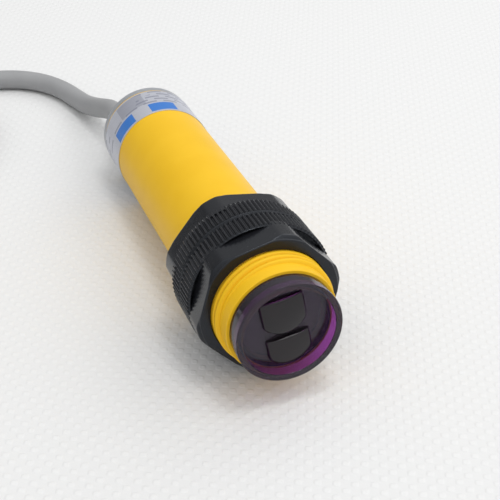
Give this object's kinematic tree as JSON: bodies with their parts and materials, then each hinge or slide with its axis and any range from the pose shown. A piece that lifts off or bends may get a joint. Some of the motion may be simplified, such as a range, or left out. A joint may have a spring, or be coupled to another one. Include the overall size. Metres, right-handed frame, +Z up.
{
  "type": "photoelectric sensor",
  "caption": "Cylindrical diffuse photoelectric sensor: threaded plastic tube with twin-lens filter cap, flanged hex nuts clamped flange to flange, and a round cable from its rear end.",
  "frame": {"origin": "centre of the box round the sensor without its cable, on the surface it lies on", "axes": "the lenses look along -Y (leaning 2.93 degrees upwards, because the sensor rests on a nut flange and on its rear end), +X to the right as seen by someone who faces the lenses, +Z up"},
  "size_m": [0.085, 0.1208, 0.0229],
  "materials": {
    "lens_cap": "dark purple infrared filter, polished",
    "housing_barrel": "orange-yellow, satin",
    "front_nut": "black, satin",
    "rear_nut": "black, satin",
    "label_sleeve": "silver-grey printed film",
    "rear_cap": "milky, lets the indicator show",
    "strain_relief": "grey, matt",
    "optics_holder": "black",
    "emitter_led": "pale blue epoxy",
    "receiver_diode": "dark filter epoxy",
    "main_board": "green solder mask",
    "controller_chip": "black mould compound",
    "voltage_regulator": "black mould compound",
    "output_transistor": "black mould compound",
    "filter_capacitor": "sleeved can",
    "ceramic_capacitors": "fired ceramic",
    "resistors": "black glaze",
    "trimmer_body": "blue moulding",
    "trimmer_screw": "turned",
    "indicator_led": "red epoxy",
    "cable_inner_end": "grey jacket",
    "inner_wire_brown": "brown insulation",
    "inner_wire_blue": "blue insulation",
    "inner_wire_black": "black insulation",
    "cable_jacket": "grey jacket",
    "cable_coil": "grey jacket",
    "cable_tail": "grey jacket",
    "lead_brown": "brown insulation",
    "lead_blue": "blue insulation",
    "lead_black": "black insulation",
    "connector_housing": "black moulding",
    "connector_contacts": "tinned"
  },
  "bodies": {
    "sensor": {"lens_cap": "lens_cap", "housing_barrel": "housing_barrel", "label_sleeve": "label_sleeve", "rear_cap": "rear_cap", "strain_relief": "strain_relief", "optics_holder": "optics_holder", "emitter_led": "emitter_led", "receiver_diode": "receiver_diode", "main_board": "main_board", "controller_chip": "controller_chip", "voltage_regulator": "voltage_regulator", "output_transistor": "output_transistor", "filter_capacitor": "filter_capacitor", "ceramic_capacitors": "ceramic_capacitors", "resistors": "resistors", "trimmer_body": "trimmer_body", "indicator_led": "indicator_led", "cable_inner_end": "cable_inner_end", "inner_wire_brown": "inner_wire_brown", "inner_wire_blue": "inner_wire_blue", "inner_wire_black": "inner_wire_black", "cable_jacket": "cable_jacket", "cable_coil": "cable_coil", "cable_tail": "cable_tail", "lead_brown": "lead_brown", "lead_blue": "lead_blue", "lead_black": "lead_black", "connector_housing": "connector_housing", "connector_contacts": "connector_contacts"},
    "front_nut": {"front_nut": "front_nut"},
    "rear_nut": {"rear_nut": "rear_nut"},
    "trimmer_screw": {"trimmer_screw": "trimmer_screw"}
  },
  "joints": [
    {"name": "front_nut_turn", "type": "hinge", "parent": "sensor", "child": "front_nut", "pos_m": [0, -0.02821, 0.01167], "axis": [0, -0.9987, 0.0511], "range_deg": [0, 936]},
    {"name": "rear_nut_turn", "type": "hinge", "parent": "sensor", "child": "rear_nut", "pos_m": [0, -0.02042, 0.01128], "axis": [0, 0.9987, -0.0511], "range_deg": [0, 756]},
    {"name": "trimmer_screw_turn", "type": "hinge", "parent": "sensor", "child": "trimmer_screw", "pos_m": [0.00279, 0.02796, 0.00874], "axis": [0, 0.9987, -0.0511], "continuous": true}
  ]
}
